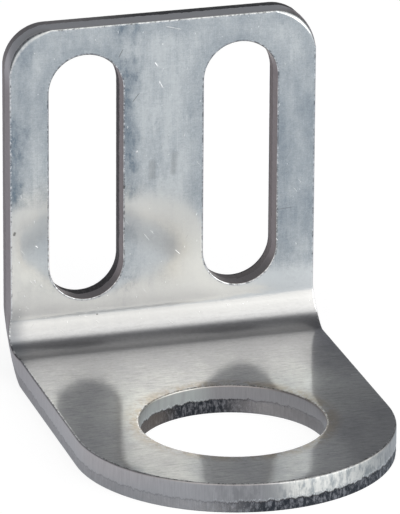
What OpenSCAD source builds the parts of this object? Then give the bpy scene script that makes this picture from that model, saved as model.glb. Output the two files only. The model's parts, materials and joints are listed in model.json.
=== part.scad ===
// Angle bracket, punched and folded from one thick sheet.
// The base leg has a round hole and a round nose. The upright leg has two slots.
// The origin is on the hole's axis, level with the underside of the base leg.
// X runs across the bracket, Y runs back to the upright leg and Z runs up.

/* [Sheet] */
// Thickness of the sheet
sheet_t = 3; // [1.5:0.1:4]
// Width of both legs, which is also the diameter of the nose
width = 32.1; // [28:0.1:60]
// Inside radius of the fold
fold_r = 3.4; // [2:0.1:8]

/* [Base leg] */
// Diameter of the round hole
hole_d = 18.5; // [8:0.1:24]
// Distance from the hole's axis to the back of the upright leg
hole_to_back = 27.7; // [24:0.1:60]
// Distance from the hole's axis to the front of the nose
nose_reach = 16.3; // [14:0.1:40]

/* [Upright leg] */
// Height of the upright leg's top edge above the underside
height = 36.5; // [24:0.1:80]
// Radius of the two top corners
corner_r = 4.3; // [1:0.1:8]

/* [Slots] */
// Width of each slot
slot_w = 7.7; // [3:0.1:9]
// Distance between the centre lines of the two slots
slot_pitch = 16.2; // [12:0.1:18]
// Height of the slots' lower ends above the underside
slot_foot = 7.5; // [7:0.1:12]
// Metal left between the slots' upper ends and the top edge
slot_head = 3; // [2:0.1:8]

/* [Punched edges] */
// Width of the rounding where the punch went in
roll_w = 0.2; // [0.1:0.05:0.6]
// Depth of the rounding where the punch went in
roll_h = 0.25; // [0.1:0.05:0.6]
// Depth at which the smooth band of the outline ends and the torn band begins
outline_land = 1.9; // [1:0.1:2.4]
// Depth at which the smooth band of the hole and the slots ends
hole_land = 1.5; // [1:0.1:2.4]
// How far the torn band of the outline draws back behind its smooth band
outline_tear = 0.04; // [0.02:0.02:0.14]
// How far the torn band of the hole and the slots draws back behind their smooth band
hole_tear = 0.1; // [0.02:0.02:0.14]
// Depth of the slope between the smooth band and the torn band
tear_slope = 0.2; // [0.05:0.05:0.4]

/* [Fold] */
// How far the metal swells out sideways at the inside of the fold
swell_h = 0.4; // [0.1:0.05:0.8]
// Radius of the swelling on the side face
swell_r = 2.4; // [1:0.1:3]

/* [Hidden] */
$fn = 144;
half_w = width / 2;
outer_r = fold_r + sheet_t;
fold_y = hole_to_back - outer_r;
inner_y = hole_to_back - sheet_t;
nose_y = half_w - nose_reach;
corner_x = half_w - corner_r;
corner_z = height - corner_r;
slot_r = slot_w / 2;
slot_low = slot_foot + slot_r;
slot_high = height - slot_head - slot_r;
// Cutters reach this far past the faces that they cut
reach = sheet_t / 2;
// Number of straight steps in the rounding
roll_steps = 4;
quarter = 90;
half_turn = 180;

// Points of a punched edge, as [step in from the full outline, depth below the inner face]
function edge(land, tear) = concat(
    [for (i = [0:roll_steps])
        [roll_w * (1 - sin(i * quarter / roll_steps)), roll_h * (1 - cos(i * quarter / roll_steps))]],
    [[0, land], [tear, land + tear_slope], [tear, sheet_t]]);

// Half of a leg's section: the first axis runs out to the edge, the second from the inner face to the outer
module half_section(reach_out) {
    points = [for (p = edge(outline_land, outline_tear)) [reach_out - p[0], p[1]]];
    polygon(concat([[0, 0]], points, [[0, sheet_t]]));
}

// Full section of a leg, from one side edge to the other
module section(reach_out) {
    points = edge(outline_land, outline_tear);
    last = len(points) - 1;
    polygon(concat(
        [for (p = points) [reach_out - p[0], p[1]]],
        [for (i = [last:-1:0]) [points[i][0] - reach_out, points[i][1]]]));
}

// Half of the section of a hole or a slot, a little longer than the sheet is thick
module half_cut(reach_out) {
    points = [for (p = edge(hole_land, hole_tear)) [reach_out + p[0], p[1]]];
    first = points[0];
    last = points[len(points) - 1];
    polygon(concat(
        [[0, -reach], [first[0], -reach]],
        points,
        [[last[0], sheet_t + reach], [0, sheet_t + reach]]));
}

// Base leg from the nose's centre to the fold, and the round nose in front of it
module base_leg() {
    translate([0, fold_y, sheet_t])
        rotate([quarter, 0, 0])
            linear_extrude(fold_y - nose_y)
                mirror([0, 1])
                    section(half_w);
    translate([0, nose_y, sheet_t])
        rotate_extrude(angle = half_turn, start = half_turn)
            mirror([0, 1])
                half_section(half_w);
}

// Quarter turn between the two legs
module fold(reach_out) {
    translate([0, fold_y, outer_r])
        rotate([0, quarter, 0])
            rotate_extrude(angle = quarter)
                translate([fold_r, 0])
                    rotate(quarter)
                        mirror([0, 1])
                            section(reach_out);
}

// Swelling at one end of the fold: a shallow cap that starts at the inside of the fold
module swelling(side) {
    cap_r = (swell_r ^ 2 + swell_h ^ 2) / (2 * swell_h);
    along = fold_r * sin(quarter / 2);
    intersection() {
        translate([side * (half_w + swell_h - cap_r), fold_y + along, outer_r - along])
            sphere(cap_r);
        fold(half_w + swell_h);
    }
}

// Disc that rounds one top corner
module corner(side) {
    translate([side * corner_x, inner_y, corner_z])
        rotate([-quarter, 0, 0])
            rotate_extrude()
                half_section(corner_r);
}

// Upright leg: the full width up to the corners, the middle up to the top edge, and the corners
module upright_leg() {
    translate([0, inner_y, outer_r])
        linear_extrude(corner_z - outer_r)
            section(half_w);
    translate([-corner_x, inner_y, outer_r])
        rotate([quarter, 0, quarter])
            linear_extrude(2 * corner_x)
                mirror([1, -1])
                    half_section(height - outer_r);
    for (side = [-1, 1])
        corner(side);
}

// Space of the round hole
module hole_space() {
    translate([0, 0, sheet_t])
        rotate_extrude()
            mirror([0, 1])
                half_cut(hole_d / 2);
}

// Space of one slot: a straight run with a half-round end above and below
module slot_space() {
    translate([0, inner_y, slot_low])
        linear_extrude(slot_high - slot_low)
            union() {
                half_cut(slot_r);
                mirror([1, 0])
                    half_cut(slot_r);
            }
    for (up = [0, 1])
        translate([0, inner_y, up ? slot_high : slot_low])
            rotate([-quarter, 0, 0])
                rotate_extrude(angle = half_turn, start = up ? half_turn : 0)
                    half_cut(slot_r);
}

module bracket() {
    color("silver")
        difference() {
            union() {
                base_leg();
                fold(half_w);
                upright_leg();
                for (side = [-1, 1])
                    swelling(side);
            }
            hole_space();
            for (side = [-1, 1])
                translate([side * slot_pitch / 2, 0, 0])
                    slot_space();
        }
}

bracket();
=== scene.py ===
"""Angle bracket: one thick sheet, punched, folded once and left with its cut edges.

The blank is drawn flat from its outlines, then a node tree folds it up and tears the lower part of its
punched edges. Lengths are in metres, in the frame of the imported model: X across, Y back, Z up.
"""
import json
import math

import bpy
from mathutils import Matrix, Vector
from mathutils.geometry import delaunay_2d_cdt


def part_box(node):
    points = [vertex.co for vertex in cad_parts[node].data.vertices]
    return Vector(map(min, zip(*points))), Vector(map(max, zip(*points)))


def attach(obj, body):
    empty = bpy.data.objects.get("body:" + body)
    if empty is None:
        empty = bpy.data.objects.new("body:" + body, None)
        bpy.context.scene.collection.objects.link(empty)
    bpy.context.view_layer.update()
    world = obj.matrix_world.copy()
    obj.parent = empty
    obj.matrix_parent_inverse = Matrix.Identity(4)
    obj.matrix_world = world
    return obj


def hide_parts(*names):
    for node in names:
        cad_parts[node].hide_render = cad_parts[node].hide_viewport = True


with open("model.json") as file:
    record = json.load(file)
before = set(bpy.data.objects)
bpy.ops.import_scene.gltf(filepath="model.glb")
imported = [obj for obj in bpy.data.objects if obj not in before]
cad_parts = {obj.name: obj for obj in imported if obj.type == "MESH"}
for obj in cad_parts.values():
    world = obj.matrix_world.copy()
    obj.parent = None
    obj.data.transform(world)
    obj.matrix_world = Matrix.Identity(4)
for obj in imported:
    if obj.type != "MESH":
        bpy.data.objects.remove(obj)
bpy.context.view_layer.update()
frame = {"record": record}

MM = 0.001
QUARTER = math.pi / 2

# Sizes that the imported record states
mounts = {mount["name"]: mount for mount in frame["record"]["mounts"]}
HOLE_RADIUS = mounts["hole"]["dims"]["r_mm"] * MM
BACK_Y = mounts["upright_back"]["pos_m"][1]
SLOT_X = mounts["slot_right"]["pos_m"][0]
SLOT_Z = mounts["slot_right"]["pos_m"][2]
SLOT_RADIUS = mounts["slot_right"]["dims"]["hole_r_mm"] * MM
SLOT_LENGTH = mounts["slot_right"]["dims"]["slot_length_mm"] * MM
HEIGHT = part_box("bracket")[1][2]
NOSE_REACH = -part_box("bracket")[0][1]

# Sizes of the sheet and its fold
SHEET = 3.0 * MM
HALF_WIDTH = 16.05 * MM
FOLD_RADIUS = 3.4 * MM
FOLD_THINNING = 0.05
SWELLING_LEFT = 0.45 * MM
SWELLING_RIGHT = 0.20 * MM
CORNER_RADIUS = 4.3 * MM
OUTER_RADIUS = FOLD_RADIUS + SHEET
FOLD_Y = BACK_Y - OUTER_RADIUS
NOSE_Y = HALF_WIDTH - NOSE_REACH
FOLD_LENGTH = QUARTER * (FOLD_RADIUS + SHEET / 2)

# Sizes of a punched edge, from the face that the punch entered
ROLL_WIDTH = 0.20 * MM
ROLL_DEPTH = 0.25 * MM
CORNER_ROLL_WIDTH = 0.60 * MM
CORNER_ROLL_DEPTH = 1.70 * MM
SHOULDER_WIDTH = 1.6 * MM
SHOULDER_DEPTH = 0.045 * MM
TEAR_SLOPE = 0.20 * MM
TEAR_WANDER = 0.60 * MM
TEAR_DEPTH = 0.16 * MM
OUTLINE_EDGE = {"land": 1.90 * MM, "tear": 0.04 * MM, "hole": 0.0}
HOLE_EDGE = {"land": 1.50 * MM, "tear": 0.10 * MM, "hole": 1.0}

# Powers that shape the rounding, along a corner and across the edge
CORNER_CURVE = 0.7
ROLL_CURVE = 0.8

# Spacing of the mesh
EDGE_STEP = 0.155 * MM
FACE_STEP = 1.3 * MM
FOLD_ROWS = 30
FACE_MARGIN = 1.2 * MM

# Colours of the faces
WHITE = (1.0, 1.0, 1.0, 1)
BLACK = (0.0, 0.0, 0.0, 1)
UPRIGHT_DARK = (0.44, 0.485, 0.525, 1)
UPRIGHT_LIGHT = (0.98, 0.975, 0.95, 1)
UPRIGHT_LIT = (1.0, 0.99, 0.97, 1)
BLUE_STAIN_AND_SHADE = (0.22, 0.28, 0.34, 1)
WORN_BLUE = (0.38, 0.42, 0.46, 1)
BASE_DARK = (0.60, 0.60, 0.61, 1)
BASE_LIGHT = (0.97, 0.97, 0.92, 1)
FOLD_SHADE = (0.30, 0.30, 0.31, 1)
FOLD_END_SHADE = (0.25, 0.27, 0.30, 1)
BROWN_TINT = (0.80, 0.70, 0.58, 1)
GRIME_GREY = (0.36, 0.35, 0.34, 1)
SLOT_CREST_SHADE = (0.40, 0.41, 0.43, 1)
DARK_RIM_DOT = (0.15, 0.15, 0.16, 1)
DARK_MARK = (0.10, 0.09, 0.08, 1)

# Colours of the punched edges
BAND_DARK = (0.46, 0.43, 0.43, 1)
BAND_LIGHT = (0.68, 0.645, 0.64, 1)
BAND_SHADE = (0.16, 0.155, 0.16, 1)
BAND_LIT_IN_HOLE = (0.70, 0.72, 0.68, 1)
BAND_LIT_ON_TOP = (0.92, 0.92, 0.92, 1)
SILVER_DARK = (0.31, 0.33, 0.34, 1)
SILVER_LIGHT = (0.58, 0.58, 0.56, 1)
TORN_DARK = (0.05, 0.055, 0.065, 1)
TORN_LIGHT = (0.30, 0.30, 0.32, 1)
TORN_CALM = (0.22, 0.215, 0.215, 1)
TORN_BROWN = (0.29, 0.25, 0.22, 1)
CRACK_BLACK = (0.07, 0.065, 0.07, 1)
HOLE_TINT = (0.80, 0.74, 0.70, 1)
HOLE_FRONT = (0.95, 0.95, 0.95, 1)
SLOT_FAR_RIM = (0.16, 0.16, 0.17, 1)

# Marks on the faces: across and along the sheet, turn in degrees, length and width, in millimetres
BRIGHT_MARKS = [
    (-0.3, 52.3, -62, 1.0, 0.13), (-0.8, 54.5, -55, 0.6, 0.1), (-2.8, 45.4, 10, 0.25, 0.2),
    (-13.3, 36.2, -40, 0.4, 0.12), (1.5, 34.2, -45, 0.8, 0.08), (11.95, 34.6, -52, 0.7, 0.16),
    (15.3, 8.4, -5, 0.9, 0.08), (1.0, 58.2, -15, 1.8, 0.05),
]
DARK_MARKS = [
    (-4.5, 56.0, 62, 1.1, 0.08), (-2.9, 51.2, 52, 1.3, 0.07), (-12.4, 5.6, -14, 4.8, 0.05),
    (-10.6, 4.9, -14, 0.8, 0.1), (-10.7, 10.9, -12, 1.5, 0.05), (-15.6, 37.8, 70, 0.5, 0.3),
    (-7.0, 28.0, 0, 0.25, 0.2), (-4.15, 41.7, 80, 0.5, 0.25), (12.9, 37.8, 4, 2.4, 0.05),
]
SMUDGES = [(-1.2, 43.3, 88, 2.6, 0.9), (1.1, 43.8, 84, 3.0, 0.8)]


def flat_height(z):
    """Place of a height on the upright leg, along the unfolded sheet."""
    return FOLD_Y + FOLD_LENGTH + z - OUTER_RADIUS


SHEET_TOP = flat_height(HEIGHT)


class Value:
    """A socket's value. Arithmetic on it adds Math nodes to its tree."""

    def __init__(self, graph, socket):
        self.graph = graph
        self.socket = socket

    def __add__(self, other):
        return self.graph.math("ADD", self, other)

    def __radd__(self, other):
        return self.graph.math("ADD", other, self)

    def __sub__(self, other):
        return self.graph.math("SUBTRACT", self, other)

    def __rsub__(self, other):
        return self.graph.math("SUBTRACT", other, self)

    def __mul__(self, other):
        return self.graph.math("MULTIPLY", self, other)

    def __rmul__(self, other):
        return self.graph.math("MULTIPLY", other, self)

    def __truediv__(self, other):
        return self.graph.math("DIVIDE", self, other)

    def __abs__(self):
        return self.graph.math("ABSOLUTE", self)


class Graph:
    """Adds nodes to one node tree, of a material, of the world or of geometry."""

    def __init__(self, tree):
        self.tree = tree

    def node(self, kind, settings=None, sockets=None, output=0):
        """Adds a node, sets its settings first and then its sockets, and returns one output."""
        made = self.tree.nodes.new(kind)
        for name, value in (settings or {}).items():
            setattr(made, name, value)
        for name, value in (sockets or {}).items():
            if isinstance(value, Value):
                self.tree.links.new(value.socket, made.inputs[name])
            else:
                made.inputs[name].default_value = value
        return Value(self, made.outputs[output])

    def math(self, operation, *values):
        return self.node("ShaderNodeMath", {"operation": operation}, dict(enumerate(values)))

    def most(self, first, second):
        return self.math("MAXIMUM", first, second)

    def clamp(self, value):
        return self.node("ShaderNodeClamp", None, {"Value": value})

    def vector(self, operation, *values, output=0):
        return self.node("ShaderNodeVectorMath", {"operation": operation}, dict(enumerate(values)), output)

    def separate(self, vector):
        """The three parts of a vector."""
        parts = self.node("ShaderNodeSeparateXYZ", None, {0: vector})
        return [Value(self, output) for output in parts.socket.node.outputs]

    def combine(self, x, y, z):
        return self.node("ShaderNodeCombineXYZ", None, {0: x, 1: y, 2: z})

    def turned(self, vector, degrees):
        """The parts of a vector along and across a direction in the sheet's plane."""
        cosine, sine = math.cos(math.radians(degrees)), math.sin(math.radians(degrees))
        along = self.vector("DOT_PRODUCT", vector, (cosine, sine, 0.0), output=1)
        across = self.vector("DOT_PRODUCT", vector, (-sine, cosine, 0.0), output=1)
        return along, across

    def smooth(self, value, low, high):
        """Runs from 0 at low to 1 at high along a smooth curve."""
        sockets = {"Value": value, "From Min": low, "From Max": high}
        return self.node("ShaderNodeMapRange", {"interpolation_type": "SMOOTHSTEP"}, sockets)

    def fade(self, value, low, high):
        """Runs from 1 at low to 0 at high along a smooth curve."""
        return 1 - self.smooth(value, low, high)

    def window(self, value, rise, fall):
        """Rises from 0 to 1 over one range and falls back to 0 over another."""
        return self.smooth(value, *rise) * self.fade(value, *fall)

    def noise(self, vector, scale, detail, roughness):
        sockets = {"Vector": vector, "Scale": scale, "Detail": detail, "Roughness": roughness}
        return self.node("ShaderNodeTexNoise", None, sockets)

    def pattern(self, vector, stretch, detail, roughness, scale=1.0):
        """Noise with a scale of its own along each of a vector's three parts."""
        return self.noise(self.vector("MULTIPLY", vector, stretch), scale, detail, roughness)

    def attribute(self, name, output=2):
        """An attribute of the mesh, as a number or with output 1 as a vector."""
        return self.node("ShaderNodeAttribute", {"attribute_name": name}, output=output)

    def mix_color(self, factor, first, second, blend="MIX"):
        settings = {"data_type": "RGBA", "blend_type": blend}
        return self.node("ShaderNodeMix", settings, {0: factor, 6: first, 7: second}, output=2)

    def bump(self, height, distance):
        return self.node("ShaderNodeBump", None, {"Height": height, "Strength": 1.0, "Distance": distance})

    def emission(self, color, strength=1.0):
        return self.node("ShaderNodeEmission", None, {"Color": color, "Strength": strength})

    def mix_shader(self, factor, first, second):
        return self.node("ShaderNodeMixShader", None, {0: factor, 1: first, 2: second})

    def end(self, kind, shader):
        """Links a shader to the tree's output."""
        output = self.tree.nodes.new(kind)
        self.tree.links.new(shader.socket, output.inputs["Surface"])


def line(start, end):
    """A straight stretch of an outline, with the metal on its left."""
    return {"start": Vector(start), "end": Vector(end)}


def arc(centre, radius, begin, end, corner=False):
    """A round stretch of an outline, with its angles in quarter turns."""
    return {"centre": Vector(centre), "radius": radius, "begin": begin * QUARTER, "end": end * QUARTER,
            "corner": corner}


def walk(stretches, step):
    """Even points round an outline, each with the direction out of the metal and its share of a corner."""
    points = []
    for part in stretches:
        if "start" in part:
            length = (part["end"] - part["start"]).length
            along = (part["end"] - part["start"]).normalized()
            out = Vector((along.y, -along.x))
            count = max(1, round(length / step))
            for i in range(count):
                points.append((part["start"] + along * length * i / count, out, 0.0))
        else:
            turn = part["end"] - part["begin"]
            count = max(1, round(abs(turn) * part["radius"] / step))
            for i in range(count):
                angle = part["begin"] + turn * i / count
                radial = Vector((math.cos(angle), math.sin(angle)))
                out = radial if turn > 0 else -radial
                share = math.sin(math.pi * i / count) ** CORNER_CURVE if part["corner"] else 0.0
                points.append((part["centre"] + radial * part["radius"], out, share))
    return points


def outlines():
    """The blank's outline, its round hole and its two slots, each with the sizes of its punched edge."""
    side = HALF_WIDTH
    corner_x = side - CORNER_RADIUS
    corner_y = SHEET_TOP - CORNER_RADIUS
    blank = [
        arc((0, NOSE_Y), side, 2, 4),
        line((side, NOSE_Y), (side, corner_y)),
        arc((corner_x, corner_y), CORNER_RADIUS, 0, 1, corner=True),
        line((corner_x, SHEET_TOP), (-corner_x, SHEET_TOP)),
        arc((-corner_x, corner_y), CORNER_RADIUS, 1, 2, corner=True),
        line((-side, corner_y), (-side, NOSE_Y)),
    ]
    loops = [(walk(blank, EDGE_STEP), OUTLINE_EDGE)]
    loops.append((walk([arc((0, 0), HOLE_RADIUS, 4, 0)], EDGE_STEP), HOLE_EDGE))
    low = flat_height(SLOT_Z - SLOT_LENGTH / 2 + SLOT_RADIUS)
    high = flat_height(SLOT_Z + SLOT_LENGTH / 2 - SLOT_RADIUS)
    for x in (-SLOT_X, SLOT_X):
        slot = [
            arc((x, high), SLOT_RADIUS, 2, 0),
            line((x + SLOT_RADIUS, high), (x + SLOT_RADIUS, low)),
            arc((x, low), SLOT_RADIUS, 4, 2),
            line((x - SLOT_RADIUS, low), (x - SLOT_RADIUS, high)),
        ]
        loops.append((walk(slot, EDGE_STEP), HOLE_EDGE))
    return loops


def shoulder(inset):
    """Depth by which the punch drew the face down, at a distance in from the outline."""
    return SHOULDER_DEPTH * (1 - min(1, inset / SHOULDER_WIDTH)) ** 2


def edge_rows(edge, corner):
    """Rows of a punched edge from face to face: step in from the outline, depth, and if a wall begins."""
    land, tear = edge["land"], edge["tear"]
    width = ROLL_WIDTH + (CORNER_ROLL_WIDTH - ROLL_WIDTH) * corner
    roll_end = ROLL_DEPTH + (CORNER_ROLL_DEPTH - ROLL_DEPTH) * corner
    insets = [FACE_MARGIN, 0.95 * MM, width + 0.25 * MM, width + 0.12 * MM, width + 0.04 * MM]
    rows = [(inset, shoulder(inset), False) for inset in insets]
    start = shoulder(width)
    roll_steps, first_wall_step = 8, 4
    for i in range(roll_steps + 1):
        angle = QUARTER * i / roll_steps
        inset = width * (1 - math.sin(angle) ** ROLL_CURVE)
        depth = start + (roll_end - start) * (1 - math.cos(angle) ** ROLL_CURVE)
        rows.append((inset, depth, i >= first_wall_step))
    land_steps = 5
    for i in range(1, land_steps + 1):
        rows.append((0, roll_end + (land - roll_end) * i / land_steps, True))
    rows.append((tear * 0.6, land + TEAR_SLOPE * 0.5, True))
    start = land + TEAR_SLOPE
    torn_steps = 8
    for i in range(torn_steps + 1):
        rows.append((tear, start + (SHEET - start) * i / torn_steps, i < torn_steps))
    rows += [(tear + 0.06 * MM, SHEET, False), (0.6 * MM, SHEET, False), (FACE_MARGIN, SHEET, False)]
    return rows


def inside(point, polygon):
    """Whether a flat point lies within a closed outline."""
    x, y = point
    found = False
    for a, b in zip(polygon, polygon[1:] + polygon[:1]):
        if (a.y > y) != (b.y > y) and x < (b.x - a.x) * (y - a.y) / (b.y - a.y) + a.x:
            found = not found
    return found


def in_metal(point, rims):
    """Whether a flat point lies within the blank's rim and outside its hole and slots."""
    return inside(point, rims[0]) and not any(inside(point, rim) for rim in rims[1:])


def face_points(rims):
    """Points within the flat face with their distance from the nearest rim, in rows close across the fold."""
    rows = []
    y = -NOSE_REACH
    while y < FOLD_Y - FACE_STEP:
        rows.append(y)
        y += FACE_STEP
    rows += [FOLD_Y + FOLD_LENGTH * i / FOLD_ROWS for i in range(FOLD_ROWS + 1)]
    y = FOLD_Y + FOLD_LENGTH + FACE_STEP
    while y < SHEET_TOP:
        rows.append(y)
        y += FACE_STEP
    columns = round(2 * HALF_WIDTH / FACE_STEP)
    found = []
    for y in rows:
        for i in range(columns + 1):
            point = Vector((HALF_WIDTH * (2 * i / columns - 1), y))
            if not in_metal(point, rims):
                continue
            nearest = min((point - q).length for rim in rims for q in rim[::2])
            if nearest > EDGE_STEP * 1.5:
                found.append((point, FACE_MARGIN + nearest))
    return found


class Blank:
    """The unfolded sheet's mesh while it is drawn, with what its finishes and its node tree read."""

    def __init__(self):
        self.vertices, self.insets, self.bands, self.holes = [], [], [], []
        self.faces, self.walls = [], []

    def point(self, flat, z, inset, band, hole):
        """A vertex, with its distance from the outline, its depth past the smooth band, and if in a hole."""
        self.vertices.append((flat.x, flat.y, z))
        self.insets.append(inset)
        self.bands.append(band)
        self.holes.append(hole)

    def face(self, corners, wall):
        self.faces.append(corners)
        self.walls.append(wall)

    def punched_edge(self, points, edge):
        """Adds one punched edge and returns the ids of its rims on the inner and on the outer face."""
        profiles = [edge_rows(edge, corner) for place, out, corner in points]
        count = len(points)
        first = len(self.vertices)
        for row in zip(*profiles):
            for (place, out, corner), (inset, depth, wall) in zip(points, row):
                self.point(place - out * inset, SHEET - depth, inset, depth - edge["land"], edge["hole"])
        last_row = len(profiles[0]) - 1
        for k in range(last_row):
            upper, lower = first + k * count, first + (k + 1) * count
            for i in range(count):
                j = (i + 1) % count
                self.face((upper + i, lower + i, lower + j, upper + j), profiles[0][k][2])
        last = first + last_row * count
        return list(range(first, first + count)), list(range(last, last + count))

    def flat_faces(self, inner_rims, outer_rims):
        """Fills the inner and the outer face between their rims, with the same net of triangles."""
        rims = [[Vector(self.vertices[i][:2]) for i in rim] for rim in inner_rims]
        middle = face_points(rims)
        flat_points = [q for rim in rims for q in rim] + [q for q, distance in middle]
        edges = []
        start = 0
        for rim in rims:
            edges += [(start + i, start + (i + 1) % len(rim)) for i in range(len(rim))]
            start += len(rim)
        all_triangles, merge_distance = 0, 1e-9
        net = delaunay_2d_cdt(flat_points, edges, [], all_triangles, merge_distance)
        places, triangles, sources = net[0], net[2], net[3]
        for side_rims, z, band, flip in ((inner_rims, SHEET, -SHEET, False), (outer_rims, 0.0, SHEET, True)):
            ids = [i for rim in side_rims for i in rim]
            ids += range(len(self.vertices), len(self.vertices) + len(middle))
            for q, distance in middle:
                self.point(q, z, distance, band, 0.0)
            for triangle in triangles:
                centre = sum((places[i] for i in triangle), Vector((0, 0))) / len(triangle)
                if in_metal(centre, rims):
                    corners = [ids[sources[i][0]] for i in triangle]
                    self.face(corners[::-1] if flip else corners, False)

    def make(self):
        """The blank as an object."""
        mesh = bpy.data.meshes.new("blank")
        mesh.from_pydata(self.vertices, [], self.faces)
        for name, values in (("inset", self.insets), ("band", self.bands), ("hole", self.holes)):
            mesh.attributes.new(name, "FLOAT", "POINT").data.foreach_set("value", values)
        mesh.attributes.new("punched", "BOOLEAN", "FACE").data.foreach_set("value", self.walls)
        mesh.shade_smooth()
        made = bpy.data.objects.new("blank", mesh)
        bpy.context.scene.collection.objects.link(made)
        return made


def flat_blank():
    """The unfolded sheet with its punched edges as one closed mesh, its inner face on top."""
    blank = Blank()
    rims = [blank.punched_edge(points, edge) for points, edge in outlines()]
    blank.flat_faces([inner for inner, outer in rims], [outer for inner, outer in rims])
    return blank.make()


def torn_edges(g, port, geometry, x, y, z):
    """Lets the border of the smooth band wander and roughens the torn band of a flat sheet."""
    def read(name):
        return g.node("GeometryNodeInputNamedAttribute", {"data_type": "FLOAT"}, {"Name": name})

    sheet = port["Sheet"]
    depth = sheet - z
    band = read("band")
    on_wall = g.fade(read("inset"), 0.11 * MM, 0.15 * MM)
    near_border = g.smooth(band, -0.9 * MM, 0.0) * g.fade(depth, sheet - 0.5 * MM, sheet)
    swing = g.noise(g.combine(x, y, 0.0), 900.0, 3.0, 0.6) - 0.5
    wander = swing * port["Tear wander"] * near_border * on_wall
    torn = g.smooth(band, 0.0, TEAR_SLOPE) * on_wall
    position = g.node("GeometryNodeInputPosition")
    grit = g.pattern(position, (1.0, 1.0, 0.35), 3.0, 0.7, scale=4200.0) - 0.5
    far_face = 1 - g.smooth(depth, sheet - 0.05 * MM, sheet) * 0.7
    push = g.vector("SCALE", g.node("GeometryNodeInputNormal"))
    g.tree.links.new((grit * port["Tear depth"] * torn * far_face).socket, push.socket.node.inputs["Scale"])
    offset = g.vector("ADD", push, g.combine(0.0, 0.0, wander))
    return g.node("GeometryNodeSetPosition", None, {"Geometry": geometry, "Offset": offset})


def folded_place(g, port, x, y, z):
    """Where a point of the flat sheet lies once the upright leg is folded up."""
    depth = port["Sheet"] - z
    run = y - port["Fold start"]
    share = g.clamp(run / port["Fold length"])
    angle = share * QUARTER
    sine, cosine = g.math("SINE", angle), g.math("COSINE", angle)
    thinning = g.math("SINE", share * math.pi) * port["Thinning"]
    radius = port["Inside radius"] + depth * (1 - thinning)
    past = g.most(run - port["Fold length"], 0.0)
    before = g.math("MINIMUM", run, 0.0)
    folded_y = port["Fold start"] + before + radius * sine + past * cosine
    folded_z = port["Inside radius"] + port["Sheet"] - radius * cosine + past * sine
    near_side = g.smooth(abs(x), port["Half width"] * 0.86, port["Half width"])
    bulge = g.math("SINE", angle * 2)
    from_inside = 1 - depth / port["Sheet"] * 1.4
    on_right = g.math("GREATER_THAN", x, 0.0)
    height = port["Swelling left"] + on_right * (port["Swelling right"] - port["Swelling left"])
    swell = g.math("SIGN", x) * near_side * bulge * from_inside * height
    return g.combine(x + swell, folded_y, folded_z)


def folding_tree():
    """Node tree that tears the punched edges of a flat sheet and folds it up through a right angle."""
    tree = bpy.data.node_groups.new("fold_and_tear", "GeometryNodeTree")
    ports = tree.interface
    ports.new_socket("Geometry", in_out="INPUT", socket_type="NodeSocketGeometry")
    for name in ("Sheet", "Inside radius", "Fold start", "Fold length", "Thinning", "Half width",
                 "Swelling left", "Swelling right", "Tear wander", "Tear depth"):
        ports.new_socket(name, in_out="INPUT", socket_type="NodeSocketFloat")
    for name in ("Face finish", "Edge finish"):
        ports.new_socket(name, in_out="INPUT", socket_type="NodeSocketMaterial")
    ports.new_socket("Geometry", in_out="OUTPUT", socket_type="NodeSocketGeometry")
    g = Graph(tree)
    inputs = tree.nodes.new("NodeGroupInput")
    port = {socket.name: Value(g, socket) for socket in inputs.outputs if socket.name}

    position = g.node("GeometryNodeInputPosition")
    flat = g.node("GeometryNodeStoreNamedAttribute", {"data_type": "FLOAT_VECTOR", "domain": "POINT"},
                  {"Geometry": port["Geometry"], "Name": "sheet", "Value": position})
    x, y, z = g.separate(position)
    torn = torn_edges(g, port, flat, x, y, z)
    folded = g.node("GeometryNodeSetPosition", None,
                    {"Geometry": torn, "Position": folded_place(g, port, x, y, z)})
    real = g.node("GeometryNodeRealizeInstances", None, {"Geometry": folded})
    faced = g.node("GeometryNodeSetMaterial", None, {"Geometry": real, "Material": port["Face finish"]})
    punched = g.node("GeometryNodeInputNamedAttribute", {"data_type": "BOOLEAN"}, {"Name": "punched"})
    done = g.node("GeometryNodeSetMaterial", None,
                  {"Geometry": faced, "Selection": punched, "Material": port["Edge finish"]})
    output = tree.nodes.new("NodeGroupOutput")
    tree.links.new(done.socket, output.inputs[0])
    return tree


def new_material(name):
    """An empty material and the graph of its nodes."""
    material = bpy.data.materials.new(name)
    material.use_nodes = True
    material.node_tree.nodes.clear()
    return material, Graph(material.node_tree)


def metal(g, color, normal, clear, spread, share):
    """A metal that keeps a clear image with one part of its reflection and spreads the rest."""
    parts = []
    for roughness in (clear, spread):
        sockets = {"Base Color": color, "Metallic": 1.0, "Roughness": roughness, "Normal": normal}
        parts.append(g.node("ShaderNodeBsdfPrincipled", None, sockets))
    g.end("ShaderNodeOutputMaterial", g.mix_shader(share, *parts))


def near(g, sheet, x, v, close, away):
    """1 within a distance of a place on the inner face, falling to 0 at a larger distance."""
    return g.fade(g.vector("DISTANCE", sheet, (x, v, SHEET), output=1), close, away)


def scratch(g, sheet, x, v, turn, length, width):
    """Mask of one short straight mark at a place on the sheet, in millimetres and degrees."""
    along, across = g.turned(g.vector("SUBTRACT", sheet, (x * MM, v * MM, 0.0)), turn)
    in_length = g.fade(abs(along), length * MM * 0.3, length * MM * 0.5)
    in_width = g.fade(abs(across), width * MM * 0.2, width * MM * 0.6)
    return in_length * in_width


def scratches(g, sheet, places):
    """Mask of several marks together."""
    mask = scratch(g, sheet, *places[0])
    for place in places[1:]:
        mask = g.most(mask, scratch(g, sheet, *place))
    return mask


def hairlines(g, sheet, turn, amount):
    """Mask of many fine straight scratches that run one way, in degrees. More appear as amount rises."""
    along, across = g.turned(sheet, turn)
    pattern = g.noise(g.combine(along * 420.0, across * 9000.0, 0.0), 1.0, 1.0, 0.5)
    return g.smooth(pattern, 0.80 - amount, 0.84 - amount)


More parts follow.
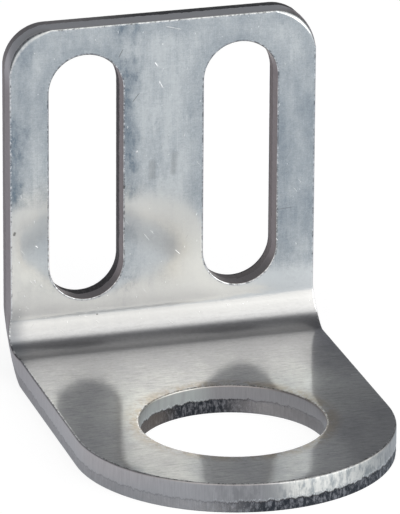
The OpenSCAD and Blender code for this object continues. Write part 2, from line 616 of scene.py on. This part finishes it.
class FacePlace:
    """Where a point of a face lies on the sheet, and the patterns that its finishes share."""

    def __init__(self, g):
        self.sheet = g.attribute("sheet", output=1)
        self.inset = g.attribute("inset")
        self.hole = g.attribute("hole")
        self.x, self.v = g.separate(self.sheet)[:2]
        # Runs from 0 at the fold's lower line to 1 at its upper line, and on past both
        self.bend = (self.v - FOLD_Y) / FOLD_LENGTH
        self.on_upright = g.smooth(self.bend, 0.4, 0.8)
        self.on_base = 1 - self.on_upright
        self.low_fold = g.window(self.bend, (-0.1, 0.05), (0.42, 0.55))
        self.in_fold = g.window(self.bend, (0.0, 0.1), (1.0, 1.25))
        self.cloud = g.pattern(self.sheet, (330.0, 190.0, 0.0), 4.0, 0.6)
        self.streak = g.pattern(self.sheet, (1500.0, 170.0, 0.0), 3.0, 0.6)
        self.patches = g.smooth(g.pattern(self.sheet, (420.0, 260.0, 0.0), 3.0, 0.6), 0.36, 0.62)
        self.pits = g.pattern(self.sheet, (1500.0, 900.0, 0.0), 4.0, 0.75)
        self.speckle = g.noise(self.sheet, 7000.0, 2.0, 0.7)
        weft = g.pattern(self.sheet, (500.0, 8000.0, 0.0), 2.0, 0.6)
        warp = g.pattern(self.sheet, (8000.0, 500.0, 0.0), 2.0, 0.6)
        self.weave = weft + (warp - 0.5) * self.on_upright


def blue_stain_and_shade(g, face):
    """How far the upright is darkened to blue along its left side and beside the left slot: partly blue
    staining of the plating, partly painted shade where the face curves near its rims.
    """
    ragged = face.x + (face.cloud - 0.5) * (5 * MM)
    left_side = g.fade(ragged, -HALF_WIDTH + 0.2 * MM, -HALF_WIDTH + 2.4 * MM)
    left_side = left_side * (1 - g.smooth(face.v, 47 * MM, 52 * MM) * 0.6)
    beside_slot = g.fade(abs(ragged + 4.0 * MM), 0.3 * MM, 1.8 * MM)
    beside_slot = beside_slot * g.fade(face.inset, 2.6 * MM, 3.6 * MM)
    return g.most(left_side, beside_slot * 0.8) * (0.1 + face.patches * 0.45)


def upright_tone(g, face, stain_and_shade):
    """Lightness of the upright's plating: clouded and grained, with painted shade at the rims and low on the
    right, and painted light at the foot.
    """
    # The rim mask carries painted shade along the rims
    rim = g.fade(face.inset, 0.5 * MM, 2.6 * MM)
    painted_foot_light = g.fade(face.bend, 1.0, 2.4)
    painted_low_right_shade = g.smooth(face.x, 9.0 * MM, 11.5 * MM) * g.smooth(face.bend, 1.15, 1.45)
    painted_low_right_shade = painted_low_right_shade * g.fade(face.v, 46 * MM, 56 * MM)
    tone = 0.88 + (face.cloud - 0.5) * 1.2 + (face.streak - 0.5) * 0.9
    tone = tone + (face.weave - 0.5) * 0.3 + (face.speckle - 0.5) * 0.8
    tone = tone - (rim * (0.05 + face.streak * 0.6) + stain_and_shade) * (1 - painted_foot_light * 0.85)
    tone = tone + painted_foot_light * (0.16 + face.x / HALF_WIDTH * 0.2) * (1 - painted_low_right_shade)
    return g.clamp(tone - painted_low_right_shade * (0.10 + face.patches * 0.2))


def lit_by_base(g, face):
    """Mask of the painted reflection of the bright base on the upright: below a cloudy border, half as much
    in the hole's image.
    """
    border = 40.5 * MM - g.smooth(face.x, -1.0 * MM, 14.0 * MM) * (10 * MM)
    lit = g.fade(face.v - border + (face.cloud - 0.5) * (4 * MM), -0.9 * MM, 0.9 * MM)
    hole_image = g.fade(abs(face.x + 6.0 * MM), 7.0 * MM, 9.5 * MM)
    hole_image = hole_image * g.window(face.v, (29.8 * MM, 31.5 * MM), (36.0 * MM, 38.5 * MM))
    return lit * (1 - hole_image * 0.5)


def upright_color(g, face, lit):
    """Colour of the upright leg's plating, with painted shade and a painted reflection of the bright base."""
    stain_and_shade = blue_stain_and_shade(g, face)
    color = g.mix_color(upright_tone(g, face, stain_and_shade), UPRIGHT_DARK, UPRIGHT_LIGHT)
    # Blue staining mixed with painted shade along the left side and beside the left slot
    color = g.mix_color(stain_and_shade * g.smooth(face.pits, 0.46, 0.60) * 1.3, color, BLUE_STAIN_AND_SHADE)
    worn = g.smooth(g.pattern(face.sheet, (900.0, 650.0, 0.0), 5.0, 0.8), 0.56, 0.70)
    color = g.mix_color(worn * 0.35, color, WORN_BLUE)
    # Painted reflection of the bright base on the upright's lower part
    return g.mix_color(lit * 0.8, color, UPRIGHT_LIT)


def base_color(g, face):
    """Colour of the base leg's plating, with painted light on both sides of the hole and painted shade
    towards the fold and in it.
    """
    left_of_hole = near(g, face.sheet, -8.6 * MM, 5.0 * MM, 0.0, 6.5 * MM)
    right_of_hole = near(g, face.sheet, 11.0 * MM, 4.5 * MM, 3.0 * MM, 8.0 * MM)
    tone = face.cloud - 0.05 + (face.weave - 0.5) * 1.6 + (face.speckle - 0.5) * 0.5
    # Painted light on both sides of the hole and painted shade towards the fold
    tone = tone + left_of_hole * 0.55 + right_of_hole * 0.35 - g.smooth(face.bend, -1.6, -0.1) * 0.6
    color = g.mix_color(g.clamp(tone), BASE_DARK, BASE_LIGHT)
    return g.mix_color(face.low_fold * 0.8, color, FOLD_SHADE)


def browned_and_grimy(g, face, color):
    """Tints the ring round the hole brown and greys the base with grime."""
    ring = near(g, face.sheet, 0.0, 0.0, HOLE_RADIUS + 0.4 * MM, HOLE_RADIUS + 2.0 * MM)
    ring = ring * g.smooth(face.cloud + face.pits, 0.8, 1.1)
    color = g.mix_color(ring * face.on_base * 0.8, color, BROWN_TINT, "MULTIPLY")
    grime = g.smooth(g.pattern(face.sheet, (600.0, 2400.0, 0.0), 5.0, 0.75), 0.50, 0.66)
    return g.mix_color(grime * face.on_base * (1 - face.low_fold) * 0.3, color, GRIME_GREY)


def left_fold_end(g, face):
    """Mask of the fold's left end."""
    at_left = g.smooth(face.x * -1.0, HALF_WIDTH - 2.0 * MM, HALF_WIDTH - 0.3 * MM)
    return at_left * g.window(face.bend, (0.0, 0.3), (0.8, 1.3))


def painted_shade_places(g, face):
    """How far painted shade darkens the fold's upper part and three places of the base."""
    high_fold = face.in_fold * face.on_upright * (0.12 - g.smooth(face.x, 0.0, 8.0 * MM) * 0.06)
    front_right = g.smooth(face.x, 7.0 * MM, 10.0 * MM) * g.fade(face.v, 3.0 * MM, 9.0 * MM)
    front_left = near(g, face.sheet, -10.5 * MM, -7.0 * MM, 2.5 * MM, 5.5 * MM)
    back_right = g.smooth(face.x, 11.0 * MM, 13.0 * MM) * g.smooth(face.v, 6.0 * MM, 9.0 * MM)
    back_right = back_right * g.fade(face.bend, -0.8, -0.3)
    return front_right * 0.22 + back_right * 0.15 + high_fold + front_left * 0.1


def rim_shade_and_glints(g, face, color):
    """Paints shade on the crests of the slots' rims and dots every rim with painted glints and dark dots."""
    crest = g.fade(face.inset, 0.16 * MM, 0.26 * MM)
    # Painted shade on the crests of the slots' rims
    color = g.mix_color(crest * face.hole * face.on_upright * 0.6, color, SLOT_CREST_SHADE)
    rim_dots = g.noise(face.sheet, 3600.0, 2.0, 0.7)
    # Painted glints dotted along every rim
    color = g.mix_color(crest * g.smooth(rim_dots, 0.52, 0.60) * 0.8, color, WHITE)
    return g.mix_color(crest * g.fade(rim_dots, 0.38, 0.46) * 0.7, color, DARK_RIM_DOT)


def dark_marks(g, face):
    """Mask of the dark scratches, smudges and hairlines."""
    mask = g.most(scratches(g, face.sheet, DARK_MARKS), scratches(g, face.sheet, SMUDGES) * 0.3)
    mask = g.most(mask, hairlines(g, face.sheet, 58, 0.02) * 0.45)
    return g.most(mask, hairlines(g, face.sheet, 4, 0.04) * 0.25)


def bright_marks(g, face):
    """Mask of the bright scratches and hairlines, and of small nicks on the upright."""
    mask = g.most(scratches(g, face.sheet, BRIGHT_MARKS), hairlines(g, face.sheet, -52, 0.02) * 0.5)
    nicks = g.smooth(g.pattern(face.sheet, (3000.0, 1400.0, 0.0), 2.0, 0.5), 0.72, 0.76)
    return g.most(mask, nicks * face.on_upright * 0.7)


def face_relief(g, face, bright):
    """Bump of the faces: grain, dents in the fold, open scratches, and the lean of the upright's face."""
    across = g.pattern(face.sheet, (150.0, 7000.0, 0.0), 3.0, 0.6)
    along = g.pattern(face.sheet, (5000.0, 200.0, 0.0), 3.0, 0.6)
    grain = across + (along - across) * face.on_upright * 0.6
    dents = g.pattern(face.sheet, (1100.0, 1100.0, 0.0), 4.0, 0.65) * (face.low_fold * 4 + face.in_fold * 3)
    lean = face.v * face.on_upright * 3.2 / MM
    rightward = face.x / (2 * HALF_WIDTH) + 0.5
    lift = g.smooth(face.bend, 0.8, 1.5) * rightward * rightward * 100
    return g.bump(grain + dents + lean + bright * 4 - lift, 0.004 * MM)


def face_finish():
    """Satin plated steel of the two faces: clouded, finely grained and marked, with painted light, shade and
    reflections, and painted shade and glints at the rims.
    """
    material, g = new_material("satin_face")
    face = FacePlace(g)
    lit = lit_by_base(g, face)
    color = g.mix_color(face.on_upright, base_color(g, face), upright_color(g, face, lit))
    color = g.mix_color(left_fold_end(g, face) * 0.6, color, FOLD_END_SHADE)
    color = browned_and_grimy(g, face, color)
    # Painted shade on the fold's upper part and on three places of the base
    color = g.mix_color(painted_shade_places(g, face), color, BLACK)
    mottling = g.smooth(g.noise(face.sheet, 2600.0, 4.0, 0.75), 0.3, 0.7) * 0.12 + 0.9
    color = g.mix_color(1 - lit * face.on_upright * 0.8, color, mottling, "MULTIPLY")
    color = rim_shade_and_glints(g, face, color)
    bright = bright_marks(g, face)
    color = g.mix_color(dark_marks(g, face) * 0.7, color, DARK_MARK)
    color = g.mix_color(bright * 0.9, color, WHITE)
    share = 0.47 - face.on_upright * 0.1 + face.low_fold * 0.2 + bright * 0.5
    metal(g, color, face_relief(g, face, bright), clear=0.10, spread=0.42, share=share)
    return material


class EdgePlace:
    """Where a point of a punched edge lies on the sheet, and the patterns that its bands share."""

    def __init__(self, g):
        self.sheet = g.attribute("sheet", output=1)
        self.hole = g.attribute("hole")
        self.outline = 1 - self.hole
        self.x, self.v, self.z = g.separate(self.sheet)
        self.ribs = g.pattern(self.sheet, (1.0, 1.0, 0.07), 3.0, 0.6, scale=9000.0)
        self.wide_ribs = g.pattern(self.sheet, (1.0, 1.0, 0.15), 3.0, 0.6, scale=2500.0)
        self.grit = g.noise(self.sheet, 9000.0, 3.0, 0.7)
        # Below 0 on the smooth band, above 0 on the torn band, and 0 along their jagged border
        ribbed = g.attribute("band") + (self.ribs - 0.5) * (0.35 * MM)
        self.border = ribbed + (self.wide_ribs - 0.5) * (0.7 * MM)
        self.torn = g.smooth(self.border, 0.0, 0.08 * MM)
        self.on_left = g.fade(self.x, -9.0 * MM, -1.0 * MM) * self.outline
        on_right = g.smooth(self.x, -3.0 * MM, 2.0 * MM) * self.outline * g.fade(self.v, 2.0 * MM, 9.0 * MM)
        self.nose_right = on_right * (1 - g.smooth(self.x, 9.0 * MM, 15.0 * MM) * 0.6)
        self.in_base = self.hole * g.fade(self.v, 14 * MM, 20 * MM)
        self.hole_left = self.in_base * g.fade(self.x, -1.5 * MM, 1.5 * MM)
        # Where the torn band's painted shade and the crack line fade out: the outline's left and the hole's
        # right
        self.torn_shade_faded = g.most(self.on_left, self.hole * g.smooth(self.x, 1.0 * MM, 6.0 * MM)) * 0.85


def torn_band(g, edge, plain):
    """Colour of the torn band: dark with light flecks and browner in the hole; its darkness is partly its own
    dull colour and partly painted shade, calmer on the sides and on the upright and faded towards the plain
    band on the left and in the hole's right.
    """
    lumps = g.pattern(edge.sheet, (1.0, 1.0, 0.5), 3.0, 0.65, scale=3000.0)
    flecks = g.smooth(lumps * 0.6 + edge.grit * 0.2 + edge.ribs * 0.2, 0.45, 0.62)
    color = g.mix_color(flecks, TORN_DARK, TORN_LIGHT)
    calm = g.smooth(edge.v, 14 * MM, 20 * MM) + g.smooth(edge.v, 2 * MM, 9 * MM) * edge.outline
    color = g.mix_color(g.math("MINIMUM", calm, 1.0) * 0.65, color, TORN_CALM)
    brown = edge.in_base * g.fade(edge.x, -6.0 * MM, -2.5 * MM)
    color = g.mix_color(brown * 0.7, color, TORN_BROWN)
    # Painted shade faded towards the plain band on the left and in the hole's right
    return g.mix_color(edge.torn_shade_faded, color, plain)


def smooth_band(g, edge, plain):
    """Colour of the smooth band: blotched painted shade at the nose's middle and light painted shade in the
    base's hole, painted light on the hole's left, along the top and at the upper left corner, and silver
    blotches on the nose's right.
    """
    color = g.mix_color(edge.in_base * 0.15, plain, BAND_SHADE)
    # Painted light on the left of the hole's wall
    color = g.mix_color(edge.hole_left * (edge.wide_ribs * 1.2 + 0.3), color, BAND_LIT_IN_HOLE)
    blotches = g.smooth(g.pattern(edge.sheet, (1.0, 1.0, 0.4), 4.0, 0.7, scale=1700.0), 0.36, 0.58)
    nose_middle = g.fade(abs(edge.x + 2.0 * MM), 2.0 * MM, 7.0 * MM) * edge.outline
    nose_middle = nose_middle * g.fade(edge.v, -9.0 * MM, 0.0)
    color = g.mix_color(nose_middle * (0.2 + blotches * 0.25), color, BAND_SHADE)
    color = g.mix_color(edge.nose_right, color, g.mix_color(blotches, SILVER_DARK, SILVER_LIGHT))
    # Painted light along the top edge and at the upper left corner
    on_top = g.smooth(edge.v, SHEET_TOP - 0.6 * MM, SHEET_TOP - 0.1 * MM) * edge.outline
    at_left_corner = g.smooth(edge.v, SHEET_TOP - 7 * MM, SHEET_TOP - 3 * MM) * edge.on_left
    return g.mix_color(g.most(on_top, at_left_corner), color, BAND_LIT_ON_TOP)


def edge_relief(g, edge):
    """Bump of the punched edges: ribs, a rough torn band, and a nose that leans back on its right."""
    distance = 0.03 * MM
    slope = edge.z * edge.nose_right * (1 - edge.torn) * (-0.23 / distance)
    rough = edge.grit * edge.torn * 2.4 * (1 - edge.on_left * 0.6)
    return g.bump(edge.ribs * 0.6 + edge.wide_ribs * 0.6 + rough + slope, distance)


def edge_finish():
    """Bare steel of the punched edges: a smooth band, a jagged dark border and a torn band."""
    material, g = new_material("punched_edge")
    edge = EdgePlace(g)
    plain = g.mix_color(edge.ribs, BAND_DARK, BAND_LIGHT)
    color = g.mix_color(edge.torn, smooth_band(g, edge, plain), torn_band(g, edge, plain))
    crack = g.window(edge.border, (-0.06 * MM, 0.02 * MM), (0.06 * MM, 0.16 * MM))
    color = g.mix_color(crack * (0.7 - edge.torn_shade_faded * 0.5), color, CRACK_BLACK)
    glints = g.window(edge.border, (-0.30 * MM, -0.16 * MM), (-0.12 * MM, -0.04 * MM))
    glints = glints * g.most(edge.outline * (1 - edge.on_left), edge.hole_left)
    color = g.mix_color(glints * g.smooth(edge.grit, 0.5, 0.6) * 0.8, color, WHITE)
    color = g.mix_color(edge.hole * 0.5, color, HOLE_TINT, "MULTIPLY")
    color = g.mix_color(edge.hole * g.fade(edge.v, -4 * MM, 0.0) * 0.7, color, HOLE_FRONT)
    slot_far_rim = edge.hole * g.fade(edge.z, 0.15 * MM, 0.30 * MM) * g.smooth(edge.v, 26 * MM, 28 * MM)
    color = g.mix_color(slot_far_rim * 0.8, color, SLOT_FAR_RIM)
    metal(g, color, edge_relief(g, edge), clear=0.28, spread=0.5, share=0.35 + edge.torn * 0.5)
    return material


def make_bracket():
    """The finished bracket: the flat blank, torn and folded by its node tree."""
    blank = flat_blank()
    tree = folding_tree()
    modifier = blank.modifiers.new("fold_and_tear", "NODES")
    modifier.node_group = tree
    values = {
        "Sheet": SHEET, "Inside radius": FOLD_RADIUS, "Fold start": FOLD_Y, "Fold length": FOLD_LENGTH,
        "Thinning": FOLD_THINNING, "Half width": HALF_WIDTH,
        "Swelling left": SWELLING_LEFT, "Swelling right": SWELLING_RIGHT,
        "Tear wander": TEAR_WANDER, "Tear depth": TEAR_DEPTH,
        "Face finish": face_finish(), "Edge finish": edge_finish(),
    }
    for item in tree.interface.items_tree:
        if item.in_out == "INPUT" and item.name in values:
            modifier[item.identifier] = values[item.name]
    evaluated = blank.evaluated_get(bpy.context.evaluated_depsgraph_get())
    mesh = bpy.data.meshes.new_from_object(evaluated)
    blank.modifiers.remove(modifier)
    bpy.data.objects.remove(blank)
    mesh.name = "folded_bracket"
    made = bpy.data.objects.new("folded_bracket", mesh)
    bpy.context.scene.collection.objects.link(made)
    return made


def floor_glow(g):
    """Colour of the floor's glow as the metal mirrors it, painted with light and shade: blue-grey in front,
    painted shade behind, painted light to both sides.
    """
    x, y = g.separate(g.node("ShaderNodeTexCoord", output=3))[:2]
    forward = g.smooth(y * -1.0, 0.08, 0.40)
    color = g.mix_color(forward, (0.49, 0.54, 0.59, 1), (0.88, 0.88, 0.88, 1))
    # Painted shade on the floor behind the bracket
    behind = g.smooth(y, 0.0, 0.06)
    color = g.mix_color(behind, color, (0.34, 0.33, 0.36, 1))
    painted_light_left = g.smooth(x * -1.0, 0.014, 0.022) * (1 - behind)
    color = g.mix_color(painted_light_left * 0.5, color, (0.80, 0.78, 0.80, 1))
    # Painted pool of light on the floor to the right
    painted_light_right = g.window(x, (0.009, 0.015), (0.026, 0.040)) * g.smooth(y, 0.005, 0.010)
    return g.mix_color(painted_light_right * 0.9, color, (0.90, 0.90, 0.88, 1))


def make_floor():
    """Wide pale floor: white to the camera with a faint shadow, and in the metal a glow with painted light
    and shade.
    """
    size = 4.0
    mesh = bpy.data.meshes.new("floor")
    corners = [(-size, -size, 0), (size, -size, 0), (size, size, 0), (-size, size, 0)]
    mesh.from_pydata(corners, [], [(0, 1, 2, 3)])
    material, g = new_material("pale_floor")
    material.cycles.emission_sampling = "NONE"
    rays = g.node("ShaderNodeLightPath").socket.node.outputs
    camera_ray, glossy_ray = Value(g, rays["Is Camera Ray"]), Value(g, rays["Is Glossy Ray"])
    pale = g.node("ShaderNodeBsdfDiffuse", None, {"Color": (0.72, 0.78, 0.84, 1)})
    seen = g.mix_shader(glossy_ray, pale, g.emission(floor_glow(g)))
    shadow = g.node("ShaderNodeBsdfDiffuse", None, {"Color": (0.24, 0.24, 0.24, 1)})
    white = g.node("ShaderNodeAddShader", None, {0: g.emission(WHITE, 0.86), 1: shadow})
    g.end("ShaderNodeOutputMaterial", g.mix_shader(camera_ray, seen, white))
    mesh.materials.append(material)
    floor = bpy.data.objects.new("floor", mesh)
    bpy.context.scene.collection.objects.link(floor)


def make_world():
    """White behind the object for the camera. Otherwise a dim room with a wide white screen in front."""
    world = bpy.data.worlds.new("studio")
    bpy.context.scene.world = world
    world.use_nodes = True
    world.node_tree.nodes.clear()
    g = Graph(world.node_tree)
    camera_ray = g.node("ShaderNodeLightPath", output=0)
    direction = g.node("ShaderNodeTexCoord", output=0)
    z = g.separate(direction)[2]
    middle_of_screen = (0.292, -0.956, 0.0)
    front = g.vector("DOT_PRODUCT", direction, middle_of_screen, output=1)
    screen = g.smooth(front, -0.1, 0.35) * g.fade(z, 0.68, 1.03)
    screen = screen * (0.88 + g.smooth(z, 0.1, 0.35) * 0.12)
    low_behind = g.smooth(front * -1.0, 0.5, 0.8) * g.fade(z, 0.42, 0.60)
    dim = g.mix_color(low_behind, (0.135, 0.138, 0.147, 1), (0.178, 0.184, 0.202, 1))
    surroundings = g.mix_color(screen, dim, (1.0, 1.0, 0.99, 1))
    room = g.node("ShaderNodeBackground", None, {"Color": surroundings, "Strength": 1.0})
    white = g.node("ShaderNodeBackground", None, {"Color": WHITE, "Strength": 1.0})
    g.end("ShaderNodeOutputWorld", g.mix_shader(camera_ray, room, white))


def soft_light(name, azimuth, elevation, distance, width, height, radiance):
    """A flat soft lamp that faces the bracket. Azimuth 0 is behind it, along +Y, and 90 is to its right."""
    data = bpy.data.lights.new(name, "AREA")
    data.shape = "RECTANGLE"
    data.size = width
    data.size_y = height
    data.energy = radiance * math.pi * width * height
    lamp = bpy.data.objects.new(name, data)
    turn, rise = math.radians(azimuth), math.radians(elevation)
    towards = Vector((math.sin(turn) * math.cos(rise), math.cos(turn) * math.cos(rise), math.sin(rise)))
    middle_of_bracket = Vector((0, 0.01, 0.015))
    lamp.location = middle_of_bracket + towards * distance
    lamp.rotation_euler = towards.to_track_quat("Z", "Y").to_euler()
    lamp.visible_camera = False
    bpy.context.scene.collection.objects.link(lamp)
    return lamp


def make_lights():
    """A bright panel to the right, and a lamp overhead that only lights the floor."""
    soft_light("side_panel", azimuth=128, elevation=12, distance=0.7, width=0.6, height=0.35, radiance=1.9)
    above = soft_light("floor_light", azimuth=165, elevation=75, distance=1.0, width=0.8, height=0.8,
                       radiance=1.2)
    above.visible_glossy = False


def make_camera():
    """Camera at the photograph's place, which looks down on the bracket from the left."""
    data = bpy.data.cameras.new("camera")
    camera = bpy.data.objects.new("camera", data)
    bpy.context.scene.collection.objects.link(camera)
    camera.location = Vector((-157.77, -519.02, 223.53)) * MM
    yaw, pitch, roll = 0.2890, 0.3588, 0.0061
    forward = Vector((math.sin(yaw) * math.cos(pitch), math.cos(yaw) * math.cos(pitch), -math.sin(pitch)))
    level = Vector((math.cos(yaw), -math.sin(yaw), 0))
    upright = level.cross(forward)
    right = level * math.cos(roll) + upright * math.sin(roll)
    up = upright * math.cos(roll) - level * math.sin(roll)
    camera.rotation_euler = Matrix((right, up, -forward)).transposed().to_euler()
    image_height, focal_pixels = 514, 5950.5
    data.sensor_width = 36
    data.lens = data.sensor_width * focal_pixels / image_height
    data.clip_start, data.clip_end = 0.01, 20
    bpy.context.scene.camera = camera


bracket = make_bracket()
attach(bracket, "root")
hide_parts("bracket")

make_floor()
make_world()
make_lights()
make_camera()
bpy.context.scene.view_settings.view_transform = "Standard"
